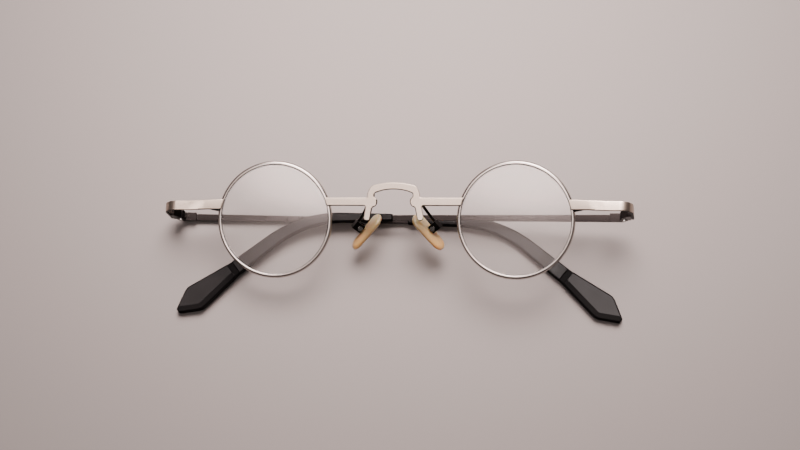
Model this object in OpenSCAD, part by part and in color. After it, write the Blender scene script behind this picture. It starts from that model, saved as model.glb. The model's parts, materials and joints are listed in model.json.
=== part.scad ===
// Round wire eyeglasses, folded, lying on a table with the front facing up.
// Right and left are as seen from the front. X runs to the right, Y to the brow, Z up from the table.
// The right temple lies against the front, and the left temple lies under it on the table.

/* [Rims] */
// Distance between the centres of the two rims
rim_pitch = 72.7; // [68:0.1:78]
// Inside diameter of a rim
rim_bore = 32.8; // [29:0.1:35]
// Radial thickness of the rim wire
rim_wall = 1.2; // [1:0.05:1.5]
// Depth of the rim wire, front to back
rim_depth = 1.8; // [1.6:0.05:2.2]
// Radius of the rounded outside of the rim wire
rim_crown = 1.05; // [0.95:0.01:1.2]
// How far the rim centres lie below the line of the end pieces
rim_drop = 4.4; // [3:0.1:5]
// Depth of the lens groove inside the rim
groove_depth = 0.5; // [0.4:0.05:0.6]

/* [Lenses] */
// Thickness of a lens
lens_t = 1.6; // [1.2:0.05:1.7]
// Radius of a lens's front surface
lens_radius = 180; // [120:5:300]
// Gap between a lens and its rim
lens_gap = 0.05; // [0.03:0.01:0.1]

/* [Front] */
// Angle by which the front leans forward over the temples
front_tilt = 15; // [8:0.5:17]
// Distance from the middle of the rims back to the hinge pins
front_depth = 8.9; // [8:0.1:11]
// Width over the two end pieces
front_w = 141.6; // [138:0.2:150]
// Thickness of the bridge plate and the end pieces
plate_t = 0.9; // [0.7:0.05:1.1]
// Width of rim wire left bare inside the plates' ends
plate_lip = 0.25; // [0.1:0.05:0.4]

/* [Bridge] */
// Height of the bridge bars
bar_h = 2.5; // [2.1:0.1:3]
// Height of the bars' middle above the line of the end pieces
bar_rise = 0.95; // [0.6:0.05:1.4]
// Height of the top of the arch above the line of the end pieces
arch_top = 6.7; // [6:0.1:8]
// Height of the band over the arch
arch_band = 2.1; // [1.8:0.1:2.4]
// Radius of the top edge of the arch
arch_top_radius = 23; // [18:1:40]
// Radius of the lower edge of the arch
arch_low_radius = 15; // [12:1:24]
// Half width of the opening under the arch
arch_gap = 5.75; // [5.2:0.05:6.2]
// Half width of the arch at its shoulders
arch_shoulder = 6.9; // [6.6:0.05:7.2]
// Half width of the arch at its feet
arch_foot = 8.4; // [8:0.1:8.8]
// Radius of the arch's shoulders
shoulder_r = 2; // [1.4:0.1:2.4]
// Radius of the rounded bump beside the nose
bump_radius = 1.7; // [1.4:0.05:1.9]
// Half width between the two bumps
bump_gap = 4.9; // [4.6:0.05:5.2]
// Width of the lugs below the bars
lug_w = 2; // [1.7:0.05:2.2]
// Half distance between the tops of the lugs' middles
lug_top_x = 7.3; // [7.1:0.05:7.5]
// Half distance between the bottoms of the lugs' middles
lug_end_x = 8; // [7.8:0.05:8.4]
// Depth of the lugs' ends below the line of the end pieces
lug_drop = 4.8; // [4.2:0.1:5.4]
// Radius of the fillets on the bridge plate
bridge_fillet = 0.5; // [0.3:0.05:0.7]

/* [End pieces] */
// Height of an end piece
strip_h = 2.9; // [2.7:0.05:3.1]
// Extra height of an end piece where it meets the rim
strip_flare = 0.2; // [0.1:0.05:0.4]
// Outer radius of the bend
bend_r = 4.2; // [3.4:0.1:4.8]
// Length of the twisted stretch between the rim and the bend
twist_l = 5.4; // [4:0.1:6]
// Length of the flat stretch on the outer side of the rim
flat_l = 3.6; // [3.4:0.1:4]
// How far an end piece falls from the rim to its bend
strip_fall = 0.6; // [0.2:0.05:0.9]

/* [Rim locks] */
// Length of a lock along the end piece
lock_l = 3.2; // [2.8:0.1:3.3]
// Depth of a lock, front to back
lock_d = 2.2; // [2:0.05:2.6]
// Height of the upper half of a lock
lock_up_h = 1.2; // [1:0.05:1.3]
// Height of the lower half of a lock at the rim
lock_low_h = 2; // [1.8:0.05:2.2]
// Height of the lower half of a lock at its thin end
lock_thin_h = 1.3; // [1.2:0.05:1.5]
// Width of the slit between the halves, which also splits the rim
lock_slit = 0.16; // [0.1:0.02:0.24]
// Shaft radius of a lock screw
lock_screw_r = 0.45; // [0.35:0.05:0.5]
// Head radius of a lock screw
lock_head_r = 0.75; // [0.65:0.05:0.8]
// Head height of a lock screw
lock_head_h = 0.5; // [0.4:0.05:0.6]

/* [Hinges] */
// Distance from the hinge pin out to the outside face of the end piece
hinge_offset = 3; // [2.8:0.05:3.4]
// How far the hinges lie below the middle of the end pieces' bends
hinge_drop = 0.25; // [0:0.05:0.4]
// Height of a hinge over its three knuckles
hinge_h = 2.6; // [2.4:0.05:2.7]
// Height of the middle knuckle
mid_h = 0.88; // [0.8:0.02:1]
// Outer radius of the knuckles
knuckle_r = 1.25; // [1.1:0.05:1.3]
// Radius of a hinge screw's shaft
pin_r = 0.6; // [0.5:0.05:0.65]
// Running clearance of the pins and the knuckles
run_gap = 0.04; // [0.03:0.01:0.06]
// Clearance round the knuckles
swing_gap = 0.11; // [0.1:0.01:0.14]
// Gap between the end piece and the temple at the pin's height
butt_gap = 0.15; // [0.14:0.01:0.2]
// Length of the front hinge's foot along the end piece
foot_l = 4; // [3:0.1:4.5]
// Length of the temple hinge's leaf along the temple
leaf_l = 4.4; // [3.6:0.1:5.2]
// Radius of a hinge screw's head
pin_head_r = 0.95; // [0.85:0.05:1.1]
// Height of a hinge screw's head
pin_head_h = 0.45; // [0.35:0.05:0.6]
// Length of a hinge screw's end below the hinge
pin_end = 0.35; // [0.2:0.05:0.5]
// Angle by which the left temple stays open over the right one
fold_deg = 3.1; // [2.8:0.1:3.4]

/* [Temples] */
// Thickness of a temple strip
temple_t = 0.8; // [0.6:0.05:0.9]
// Height of a temple strip at its hinge
temple_h = 2.2; // [2:0.05:2.5]
// Height of a temple strip at the mouth of its tip
temple_end_h = 1.6; // [1.4:0.05:1.8]
// Height of the core inside the tip
core_h = 1.2; // [1:0.05:1.3]
// Distance from the hinge pin to the mouth of the tip
mouth_at = 70; // [60:0.5:76]
// Distance from the hinge pin to the start of the ear bend
bend_at = 85.5; // [82:0.5:88]
// Radius of the ear bend
ear_radius = 34.5; // [30:0.5:40]
// Angle of the ear bend
ear_deg = 38.5; // [32:0.5:42]
// Length of the core past the end of the ear bend
core_past = 4; // [2:0.5:7]
// Length of a temple along its middle line
temple_l = 144.4; // [143:0.1:145]

/* [Temple tips] */
// Thickness of a tip
tip_t = 2.2; // [2:0.05:2.4]
// Width of a tip at its mouth
mouth_w = 2.2; // [2.1:0.05:2.6]
// Width of a tip at its groove
neck_w = 4.7; // [4:0.1:5.2]
// Width of a tip at its shoulders
paddle_w = 8.4; // [7:0.1:9]
// Width of a tip at its point
point_w = 1.5; // [1:0.1:2.4]
// Bevel on the edges of a tip
tip_bevel = 0.45; // [0.3:0.05:0.6]
// Length from the groove to the end of a tip
paddle_l = 21.2; // [19:0.2:23]
// Length of the arrow-shaped end past the shoulders
arrow_l = 6.6; // [5:0.2:8]
// Width of the groove across a tip
groove_w = 1.6; // [1:0.1:2.2]
// Depth of the groove across a tip
groove_cut = 0.25; // [0.1:0.05:0.35]
// Gap between the core and the tip
core_gap = 0.06; // [0.05:0.01:0.08]

/* [Nose pads] */
// Length of a pad
pad_l = 13.4; // [12:0.2:15]
// Width of a pad at its lower end
pad_w = 5.2; // [4.8:0.1:5.8]
// Width of a pad at its upper end
pad_top_w = 6.6; // [6:0.1:7]
// Thickness of a pad
pad_t = 2.4; // [2:0.1:2.6]
// Half distance between the middles of the pads
pad_x = 9.4; // [8.8:0.1:10]
// Depth of the pads' middles below the line of the end pieces
pad_drop = 8.1; // [7.6:0.1:8.6]
// Distance of the pads' middles behind the middle of the rims
pad_back = 6.2; // [5.6:0.1:6.8]
// Angle by which the pads spread apart downwards
pad_splay = 41; // [34:1:44]
// Angle by which the pads spread apart backwards
pad_flare = 27; // [20:1:32]
// Angle by which the pads' lower ends lean back
pad_lean = 7; // [4:1:10]
// Distance from a pad's back to its screw
stem_reach = 1.5; // [1.4:0.05:1.7]
// Width of a pad's stem
stem_w = 1.8; // [1.6:0.05:2]
// Thickness of a pad's stem
stem_t = 1.1; // [1:0.05:1.3]
// Wall of a pad box
box_wall = 0.45; // [0.4:0.05:0.55]
// Thickness of a pad box's base
box_base = 1.05; // [0.95:0.05:1.2]
// Width of a pad box
box_w = 2.6; // [2.4:0.05:2.9]
// Gap between a stem and its box
box_gap = 0.07; // [0.06:0.01:0.1]
// Shaft radius of a pad screw
pad_screw_r = 0.4; // [0.35:0.02:0.45]
// Head radius of a pad screw
pad_head_r = 0.75; // [0.65:0.05:0.85]
// Head height of a pad screw
pad_head_h = 0.4; // [0.3:0.05:0.5]
// Diameter of a pad arm's wire
arm_d = 1; // [0.8:0.05:1]
// Half distance between the pad arms where they leave the bridge plate
arm_x = 8.15; // [7.9:0.05:8.4]
// Height of those places above the line of the end pieces
arm_rise = 0.3; // [0.2:0.05:0.6]

/* [Screws] */
// Width of the slots in the screw heads
slot_w = 0.25; // [0.2:0.02:0.3]
// Depth of the slots in the screw heads
slot_cut = 0.2; // [0.15:0.02:0.25]

/* [Hidden] */
$fn = 64;

satin = "silver";
gunmetal = "dimgray";
black = "black";
amber = "tan";
clear = "lightcyan";

// Rims and lenses
rim_x = rim_pitch / 2;
rim_in = rim_bore / 2;
rim_out = rim_in + rim_wall;
rim_face = rim_depth / 2;
lens_r = rim_in - lens_gap;
lens_bevel = groove_depth - 2 * lens_gap;
lens_edge_sag = lens_radius - sqrt(lens_radius * lens_radius - lens_r * lens_r);

// Plates on the front of the rims
plate_back = rim_face;
plate_front = plate_back + plate_t;
bar_top = bar_rise + bar_h / 2;
arch_low = arch_top - arch_band;

// End pieces
arm_out = front_w / 2;
arm_in = arm_out - plate_t;
flat_end = rim_x + rim_out + flat_l;
twist_end = flat_end + twist_l;
strip_front = front_depth + plate_front;
bend_x = arm_out - bend_r;
bend_z = strip_front - bend_r;

twist_steps = 10;
bend_steps = 16;

// Sections of an end piece: across the front, leaning with it in part, and round the bend
function strip_ring(top_x, low_x, top, part) =
    let (lean = front_tilt * part)
    [for (q = [[top_x, top, plate_front], [top_x, top, plate_back], [low_x, -strip_h / 2, plate_back],
            [low_x, -strip_h / 2, plate_front]])
        [q[0], strip_fall * part + q[1] * cos(lean) - q[2] * sin(lean),
            front_depth + q[1] * sin(lean) + q[2] * cos(lean)]];
function bend_ring(a, z) =
    [for (q = [[1, bend_r], [1, bend_r - plate_t], [-1, bend_r - plate_t], [-1, bend_r]])
        [bend_x + q[1] * sin(a), q[0] * strip_h / 2, z + q[1] * cos(a)]];
function rim_edge(y) = rim_x + sqrt(pow(rim_in + plate_lip, 2) - pow(rim_drop + y, 2));
strip_top = strip_h / 2 + strip_flare;
strip_rings = concat(
    [strip_ring(rim_edge(strip_top), rim_edge(-strip_h / 2), strip_top, 1)],
    [strip_ring(rim_x + rim_out, rim_x + rim_out, strip_top, 1)],
    [for (i = [0:twist_steps])
        let (x = flat_end + twist_l * i / twist_steps)
        strip_ring(x, x, strip_h / 2, 1 - i / twist_steps)],
    [for (i = [0:bend_steps]) bend_ring(90 * i / bend_steps, bend_z)],
    [bend_ring(90, butt_gap)]
);

// Rim locks
lock_in = rim_out + lens_gap;
lock_mid = rim_x + sqrt(lock_in * lock_in - rim_drop * rim_drop) + lock_l / 2;
lock_end = lock_mid + lock_l / 2;
lock_front = plate_back;
lock_back = plate_back - lock_d;
lock_screw_z = plate_back - lock_d / 2;
lock_under = -lock_slit / 2 - (lock_low_h + lock_thin_h) / 2;

// Hinges
pivot_x = arm_out - hinge_offset;
temple_mid = hinge_offset - temple_t / 2;
temple_face = hinge_offset - temple_t;
leaf_face = knuckle_r + swing_gap;
slit_h = mid_h + 2 * run_gap;

// Temples and tips
ear_arc = ear_radius * ear_deg * PI / 180;
ear_end = bend_at + ear_arc;
neck_at = temple_l - paddle_l;
shoulder_at = temple_l - arrow_l;
core_end = ear_end + core_past;
shoulder_ease = arrow_l / 5;
ear_steps = 14;

// Nose pads
stem_pivot = pad_t / 2 + stem_reach;
box_in = stem_t / 2 + box_gap;
box_out = box_in + box_wall;
box_floor = stem_pivot + stem_w / 2 + 2 * box_gap;
box_back = box_floor + box_base;
box_mouth = pad_t / 2 + stem_reach / 3;
arm_sides = 10;
arm_steps = 10;

// The middle line of a temple: [along, height, heading] at a length from the hinge pin
function temple_at(s) =
    s <= bend_at ? [s, 0, 0]
    : s <= ear_end ? ear_at((s - bend_at) / ear_radius * 180 / PI)
    : let (e = ear_at(ear_deg), d = s - ear_end)
        [e[0] + d * cos(ear_deg), e[1] - d * sin(ear_deg), ear_deg];
function ear_at(a) = [bend_at + ear_radius * sin(a), -ear_radius * (1 - cos(a)), a];
function beside(s, w) = let (p = temple_at(s)) [p[0] + w * sin(p[2]), p[1] + w * cos(p[2])];

// A bevelled section of half width w and half thickness k across a temple's middle line
function section(s, w, k, c) =
    [for (q = [[w - c, k], [w, k - c], [w, c - k], [w - c, -k], [c - w, -k], [-w, c - k], [-w, k - c], [c - w, k]])
        concat(beside(s, q[0]), q[1] - temple_mid)];

// Half width and half thickness of a tip along its length
tip_half_w = [
    [mouth_at, mouth_w / 2],
    [neck_at, neck_w / 2],
    [shoulder_at - shoulder_ease, paddle_w / 2 - shoulder_ease / 12],
    [shoulder_at, paddle_w / 2],
    [shoulder_at + shoulder_ease, paddle_w / 2 - shoulder_ease / 3],
    [temple_l, point_w / 2]
];
groove_side = tip_bevel / 2;
tip_half_t = [
    [neck_at - groove_w / 2 - groove_side, tip_t / 2],
    [neck_at - groove_w / 2, tip_t / 2 - groove_cut],
    [neck_at + groove_w / 2, tip_t / 2 - groove_cut],
    [neck_at + groove_w / 2 + groove_side, tip_t / 2],
    [temple_l - tip_bevel, tip_t / 2],
    [temple_l, tip_t / 2 - tip_bevel / 2]
];
ear_stops = [for (i = [0:ear_steps]) bend_at + ear_arc * i / ear_steps];
tip_stops = concat(
    [mouth_at + tip_bevel],
    ear_stops,
    [for (p = tip_half_t) if (p[0] <= neck_at + groove_w) p[0]],
    [for (p = tip_half_w) if (p[0] > neck_at && p[0] < temple_l) p[0]],
    [temple_l - tip_bevel, temple_l]
);
tip_rings = concat(
    [section(mouth_at, mouth_w / 2 - tip_bevel / 3, tip_t / 2 - tip_bevel / 3, tip_bevel)],
    [for (s = tip_stops) section(s, lookup(s, tip_half_w), lookup(s, tip_half_t), tip_bevel)]
);
core_slot_w = core_h / 2 + core_gap;
core_slot_t = temple_t / 2 + core_gap;
core_rings = [for (s = concat([mouth_at], ear_stops, [core_end + core_gap]))
    section(s, core_slot_w, core_slot_t, core_gap / 2)];

// Where the folded glasses stand: hinge line, height, and the middle of their outline over the origin
hinge_z = tip_t / 2 + temple_mid + pivot_x * sin(fold_deg);
edge_right = arm_out * cos(fold_deg) - butt_gap * sin(fold_deg);
edge_left = bend_x * cos(fold_deg) + bend_z * sin(fold_deg) + bend_r;
edge_brow = strip_fall + (rim_out - rim_crown - rim_drop) * cos(front_tilt) + rim_crown;
edge_tip = min([for (r = tip_rings) for (p = r) p[1]]) - hinge_drop;
stand = [(edge_left - edge_right) / 2, -(edge_brow + edge_tip) / 2, hinge_z];

// Places on the nose pads, in the frame of the front
function turn(a, v) = v * [
    [cos(a[1]) * cos(a[2]), cos(a[1]) * sin(a[2]), -sin(a[1])],
    [sin(a[0]) * sin(a[1]) * cos(a[2]) - cos(a[0]) * sin(a[2]),
        sin(a[0]) * sin(a[1]) * sin(a[2]) + cos(a[0]) * cos(a[2]), sin(a[0]) * cos(a[1])],
    [cos(a[0]) * sin(a[1]) * cos(a[2]) + sin(a[0]) * sin(a[2]),
        cos(a[0]) * sin(a[1]) * sin(a[2]) - sin(a[0]) * cos(a[2]), cos(a[0]) * cos(a[1])]
];
function pad_turn(v) = turn([0, 0, pad_splay], turn([pad_lean, 0, 0], turn([0, -pad_flare, 0], v)));
function pad_place(v) = [pad_x, -pad_drop, -pad_back] + pad_turn(v);

// A smooth wire from the bridge plate back to a pad box
arm_start = [arm_x, arm_rise, plate_back];
arm_stop = pad_place([box_floor + box_base / 2, box_w / 2, 0]);
arm_lead = norm(arm_stop - arm_start) / 3;
arm_guides = [
    arm_start,
    arm_start - [0, 0, arm_lead],
    arm_stop + arm_lead * pad_turn([0, 1, 0]),
    arm_stop
];
function arm_at(t) =
    let (u = 1 - t)
    u * u * u * arm_guides[0] + 3 * u * u * t * arm_guides[1] + 3 * u * t * t * arm_guides[2]
        + t * t * t * arm_guides[3];
function arm_way(t) =
    let (u = 1 - t)
    let (d = u * u * (arm_guides[1] - arm_guides[0]) + 2 * u * t * (arm_guides[2] - arm_guides[1])
        + t * t * (arm_guides[3] - arm_guides[2]))
    d / norm(d);
function wire_ring(p, way) =
    let (across = cross(way, [0, 1, 0]), side = across / norm(across), up = cross(side, way))
    [for (i = [0:arm_sides - 1])
        p + arm_d / 2 * (cos(360 * i / arm_sides) * side + sin(360 * i / arm_sides) * up)];

// A solid through a row of like rings, with flat ends
module loft(rings) {
    n = len(rings[0]);
    last = (len(rings) - 1) * n;
    polyhedron(
        points = [for (r = rings) each r],
        faces = concat([[for (i = [0:n - 1]) i]], [[for (i = [n - 1:-1:0]) last + i]], skin(len(rings), n, 0, false))
    );
}

// The side of a row of rings that starts at a point number, facing out or in
function skin(rows, n, first, inward) = [
    for (j = [0:rows - 2])
        for (i = [0:n - 1])
            let (a = first + j * n + i, b = first + j * n + (i + 1) % n, c = a + n, d = b + n)
            each inward ? [[a, b, c], [b, d, c]] : [[a, c, b], [b, c, d]]
];

// A row of rings with a blind channel that starts at its first ring
module sleeve(rings, channel) {
    n = len(rings[0]);
    inner = len(rings) * n;
    mouth = [for (i = [0:n - 1])
        let (k = (i + 1) % n)
        each [[i, k, inner + i], [k, inner + k, inner + i]]];
    bottom = [for (i = [0:n - 1]) inner + (len(channel) - 1) * n + i];
    end = [for (i = [n - 1:-1:0]) inner - n + i];
    polyhedron(
        points = [for (r = concat(rings, channel)) each r],
        faces = concat(mouth, skin(len(rings), n, 0, false), skin(len(channel), n, inner, true), [bottom], [end])
    );
}

// Frames: the folded pair on the table, the leaning front in it, and each side of either
module folded() {
    translate(stand) rotate([0, -fold_deg, 0]) children();
}
module front() {
    folded() translate([0, strip_fall, front_depth]) rotate([front_tilt, 0, 0]) children();
}
module left() {
    mirror([1, 0, 0]) children();
}
module right_temple_frame() {
    folded() translate([pivot_x, -hinge_drop, 0]) mirror([1, 0, 0]) children();
}
module left_temple_frame() {
    folded() translate([-pivot_x, -hinge_drop, 0]) rotate([0, fold_deg, 0]) children();
}
module at_rim() {
    translate([rim_x, -rim_drop, 0]) children();
}
module at_pad() {
    translate([pad_x, -pad_drop, -pad_back])
        rotate([0, 0, pad_splay]) rotate([pad_lean, 0, 0]) rotate([0, -pad_flare, 0]) children();
}

// A shaft with a slotted head, along +Z from the head's underside down to -reach
module screw(shaft_r, head_r, head_h, reach) {
    translate([0, 0, -reach]) cylinder(r = shaft_r, h = reach + head_h / 2);
    difference() {
        cylinder(r = head_r, h = head_h);
        translate([-head_r - 1, -slot_w / 2, head_h - slot_cut]) cube([2 * head_r + 2, slot_w, slot_cut + 1]);
    }
}

// Rim wire: round outside, flat faces, a groove for the lens, and a slit at the lock
module rim() {
    difference() {
        at_rim() rotate_extrude($fn = 128) difference() {
            intersection() {
                translate([rim_in, -rim_face]) square([rim_wall, rim_depth]);
                translate([rim_out - rim_crown, 0]) circle(r = rim_crown);
            }
            polygon([[rim_in - 1, groove_depth + 1], [rim_in + groove_depth, 0], [rim_in - 1, -groove_depth - 1]]);
        }
        translate([rim_x + rim_in / 2, -lock_slit / 2, -rim_depth]) cube([rim_out, lock_slit, 2 * rim_depth]);
    }
}

// Thin curved lens with a bevelled edge
module lens() {
    at_rim() rotate_extrude($fn = 128) intersection() {
        translate([0, lens_edge_sag + lens_t / 2 - lens_radius]) difference() {
            circle(r = lens_radius, $fn = 720);
            circle(r = lens_radius - lens_t, $fn = 720);
        }
        polygon([[0, -2 * lens_t], [lens_r, -2 * lens_t], [lens_r, -lens_bevel], [lens_r + lens_bevel, 0],
            [lens_r, lens_bevel], [lens_r, 2 * lens_t + lens_edge_sag], [0, 2 * lens_t + lens_edge_sag]]);
    }
}

// Outline of the arch, with round shoulders
module arch() {
    arc_steps = 10;
    foot_y = bar_rise;
    function arc_y(top, radius, x) = top - radius + sqrt(radius * radius - x * x);
    difference() {
        offset(r = shoulder_r) offset(delta = -shoulder_r) polygon(concat(
            [for (i = [-arc_steps:arc_steps]) let (x = arch_shoulder * i / arc_steps)
                [x, arc_y(arch_top, arch_top_radius, x)]],
            [[arch_foot, bar_top], [arch_foot, foot_y], [-arch_foot, foot_y], [-arch_foot, bar_top]]
        ));
        polygon(concat(
            [for (i = [-arc_steps:arc_steps]) let (x = arch_gap * i / arc_steps)
                [x, arc_y(arch_low, arch_low_radius, x)]],
            [[arch_gap, foot_y - 1], [-arch_gap, foot_y - 1]]
        ));
    }
}

// One side of the bridge plate: the bump, the lug and the bar
module bridge_half() {
    translate([bump_gap + bump_radius, bar_rise]) circle(r = bump_radius);
    hull() {
        translate([lug_top_x, 0]) circle(r = lug_w / 2);
        translate([lug_end_x, lug_w / 2 - lug_drop]) circle(r = lug_w / 2);
    }
    translate([lug_top_x, bar_rise - bar_h / 2]) square([rim_x - lug_top_x, bar_h]);
}

// Flat bridge plate with its arch and lugs, trimmed to the rims
module bridge() {
    $fn = 32;
    color(satin) front() translate([0, 0, plate_back]) linear_extrude(plate_t) difference() {
        offset(r = bridge_fillet) offset(r = -2 * bridge_fillet) offset(r = bridge_fillet) {
            arch();
            bridge_half();
            left() bridge_half();
        }
        for (side = [-1, 1])
            translate([side * rim_x, -rim_drop]) circle(r = rim_in + plate_lip, $fn = 128);
    }
}

// End piece: flat on the rim, twisted upright, then bent back to the hinge
module end_piece() {
    loft(strip_rings);
}

// Outline of one half of a rim lock, fitted to the outside of the rim
module lock_outline(points) {
    difference() {
        polygon(points);
        translate([rim_x, -rim_drop]) circle(r = lock_in);
    }
}

module lock_upper() {
    low = lock_slit / 2;
    difference() {
        translate([0, 0, lock_back]) linear_extrude(lock_d)
            lock_outline([[rim_x, low], [lock_end, low], [lock_end, low + lock_up_h], [rim_x, low + lock_up_h]]);
        translate([lock_mid, 0, lock_screw_z]) rotate([-90, 0, 0])
            cylinder(r = lock_screw_r + run_gap, h = 2 * lock_up_h + lock_slit);
    }
}

module lock_lower() {
    top = -lock_slit / 2;
    difference() {
        translate([0, 0, lock_back]) linear_extrude(lock_d - run_gap)
            lock_outline([[rim_x, top], [lock_end, top], [lock_end, top - lock_thin_h],
                [lock_end - lock_l, top - lock_low_h], [rim_x, top - lock_low_h]]);
        translate([lock_mid, 0, lock_screw_z]) rotate([90, 0, 0]) {
            cylinder(r = lock_screw_r + run_gap, h = 2 * lock_low_h);
            translate([0, 0, -lock_under - lock_head_h]) cylinder(r = lock_head_r + run_gap, h = lock_low_h);
        }
    }
}

module lock_screw() {
    translate([lock_mid, lock_under + lock_head_h, lock_screw_z]) rotate([90, 0, 0])
        screw(lock_screw_r, lock_head_r, lock_head_h, lock_up_h + lock_slit / 2 - lock_under - lock_head_h);
}

// Front half of a hinge: two knuckles on a foot against the end piece
module front_hinge() {
    foot_in = pivot_x - knuckle_r / 2;
    translate([0, -hinge_drop, 0]) difference() {
        union() {
            translate([0, hinge_h / 2, 0]) rotate([90, 0, 0]) linear_extrude(hinge_h)
                polygon([[foot_in, butt_gap], [arm_in, butt_gap], [arm_in, butt_gap + foot_l],
                    [arm_in - plate_t, butt_gap + foot_l], [foot_in, butt_gap + foot_l / 2]]);
            translate([pivot_x, hinge_h / 2, 0]) rotate([90, 0, 0]) cylinder(r = knuckle_r, h = hinge_h);
        }
        translate([pivot_x, slit_h / 2, 0]) rotate([90, 0, 0]) cylinder(r = knuckle_r + swing_gap, h = slit_h);
        translate([pivot_x, hinge_h, 0]) rotate([90, 0, 0]) cylinder(r = pin_r + run_gap, h = 2 * hinge_h);
    }
}

module hinge_screw() {
    translate([pivot_x, hinge_h / 2 - hinge_drop, 0]) rotate([-90, 0, 0])
        screw(pin_r, pin_head_r, pin_head_h, hinge_h + pin_end);
}

// Temple half of a hinge: one knuckle on a leaf against the inside of the temple
module temple_hinge() {
    difference() {
        union() {
            translate([butt_gap, -hinge_h / 2, -temple_face]) cube([leaf_l - butt_gap, hinge_h, temple_face - leaf_face]);
            translate([0, -mid_h / 2, -temple_face]) translate([butt_gap, 0, 0])
                cube([knuckle_r - butt_gap, mid_h, temple_face]);
            translate([0, mid_h / 2, 0]) rotate([90, 0, 0]) cylinder(r = knuckle_r, h = mid_h);
        }
        translate([0, hinge_h, 0]) rotate([90, 0, 0]) cylinder(r = pin_r + run_gap, h = 2 * hinge_h);
    }
}

// Temple strip, tapering to the tip's mouth, with a bent core inside the tip
module temple() {
    stops = concat([mouth_at - core_gap], ear_stops, [core_end]);
    last = len(stops) - 1;
    translate([0, 0, -temple_mid - temple_t / 2]) linear_extrude(temple_t) polygon(concat(
        [[butt_gap, temple_h / 2], [mouth_at - core_gap, temple_end_h / 2]],
        [for (s = stops) beside(s, core_h / 2)],
        [for (i = [last:-1:0]) beside(stops[i], -core_h / 2)],
        [[mouth_at - core_gap, -temple_end_h / 2], [butt_gap, -temple_h / 2]]
    ));
}

// Crowned round end of a pad, lying across X
module pad_end(r) {
    rotate([0, 90, 0]) rotate_extrude($fn = 32)
        polygon([[0, -pad_t / 2], [r - pad_t / 2, -pad_t / 2], [r - pad_t / 8, -pad_t / 4], [r, 0],
            [r - pad_t / 6, pad_t / 4], [r - pad_t * 0.6, pad_t / 2], [0, pad_t / 2]]);
}

// Moulded nose pad with a drilled stem on its back
module nose_pad() {
    low_y = (pad_w - pad_l) / 2;
    high_y = (pad_l - pad_top_w) / 2;
    hull() {
        translate([0, low_y, 0]) pad_end(pad_w / 2);
        translate([0, high_y, 0]) pad_end(pad_top_w / 2);
    }
    difference() {
        translate([0, 0, -stem_t / 2]) linear_extrude(stem_t) {
            translate([0, -stem_w / 2]) square([stem_pivot, stem_w]);
            translate([stem_pivot, 0]) circle(r = stem_w / 2);
        }
        translate([stem_pivot, 0, -stem_t]) cylinder(r = pad_screw_r + run_gap, h = 2 * stem_t);
    }
}

// Small open box that holds a pad's stem
module pad_box() {
    difference() {
        translate([box_mouth, -box_w / 2, -box_out]) cube([box_back - box_mouth, box_w, 2 * box_out]);
        translate([box_mouth - 1, -box_w, -box_in]) cube([box_floor - box_mouth + 1, 2 * box_w, 2 * box_in]);
        translate([stem_pivot, 0, -2 * box_out]) cylinder(r = pad_screw_r + run_gap, h = 4 * box_out);
    }
}

module pad_screw() {
    translate([stem_pivot, 0, box_out]) screw(pad_screw_r, pad_head_r, pad_head_h, 2 * box_out);
}

module pad_arm() {
    loft([for (i = [0:arm_steps]) wire_ring(arm_at(i / arm_steps), arm_way(i / arm_steps))]);
}

color(satin) front() left() rim();  // left_rim
color(satin) front() rim();  // right_rim
color(clear) front() left() lens();  // left_lens
color(clear) front() lens();  // right_lens
bridge();
color(satin) folded() left() end_piece();  // left_end_piece
color(satin) folded() end_piece();  // right_end_piece
color(satin) front() left() lock_upper();  // left_lock_upper
color(satin) front() lock_upper();  // right_lock_upper
color(satin) front() left() lock_lower();  // left_lock_lower
color(satin) front() lock_lower();  // right_lock_lower
color(satin) front() left() lock_screw();  // left_lock_screw
color(satin) front() lock_screw();  // right_lock_screw
color(gunmetal) front() left() pad_arm();  // left_pad_arm
color(gunmetal) front() pad_arm();  // right_pad_arm
color(gunmetal) front() left() at_pad() pad_box();  // left_pad_box
color(gunmetal) front() at_pad() pad_box();  // right_pad_box
color(satin) front() left() at_pad() pad_screw();  // left_pad_screw
color(satin) front() at_pad() pad_screw();  // right_pad_screw
color(amber) front() left() at_pad() nose_pad();  // left_nose_pad
color(amber) front() at_pad() nose_pad();  // right_nose_pad
color(gunmetal) folded() left() front_hinge();  // left_front_hinge
color(gunmetal) folded() front_hinge();  // right_front_hinge
color(satin) folded() left() hinge_screw();  // left_hinge_screw
color(satin) folded() hinge_screw();  // right_hinge_screw
color(gunmetal) left_temple_frame() temple_hinge();  // left_temple_hinge
color(gunmetal) right_temple_frame() temple_hinge();  // right_temple_hinge
color(gunmetal) left_temple_frame() temple();  // left_temple
color(gunmetal) right_temple_frame() temple();  // right_temple
color(black) left_temple_frame() sleeve(tip_rings, core_rings);  // left_temple_tip
color(black) right_temple_frame() sleeve(tip_rings, core_rings);  // right_temple_tip
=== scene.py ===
"""Round wire eyeglasses, folded on a table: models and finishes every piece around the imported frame."""

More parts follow.
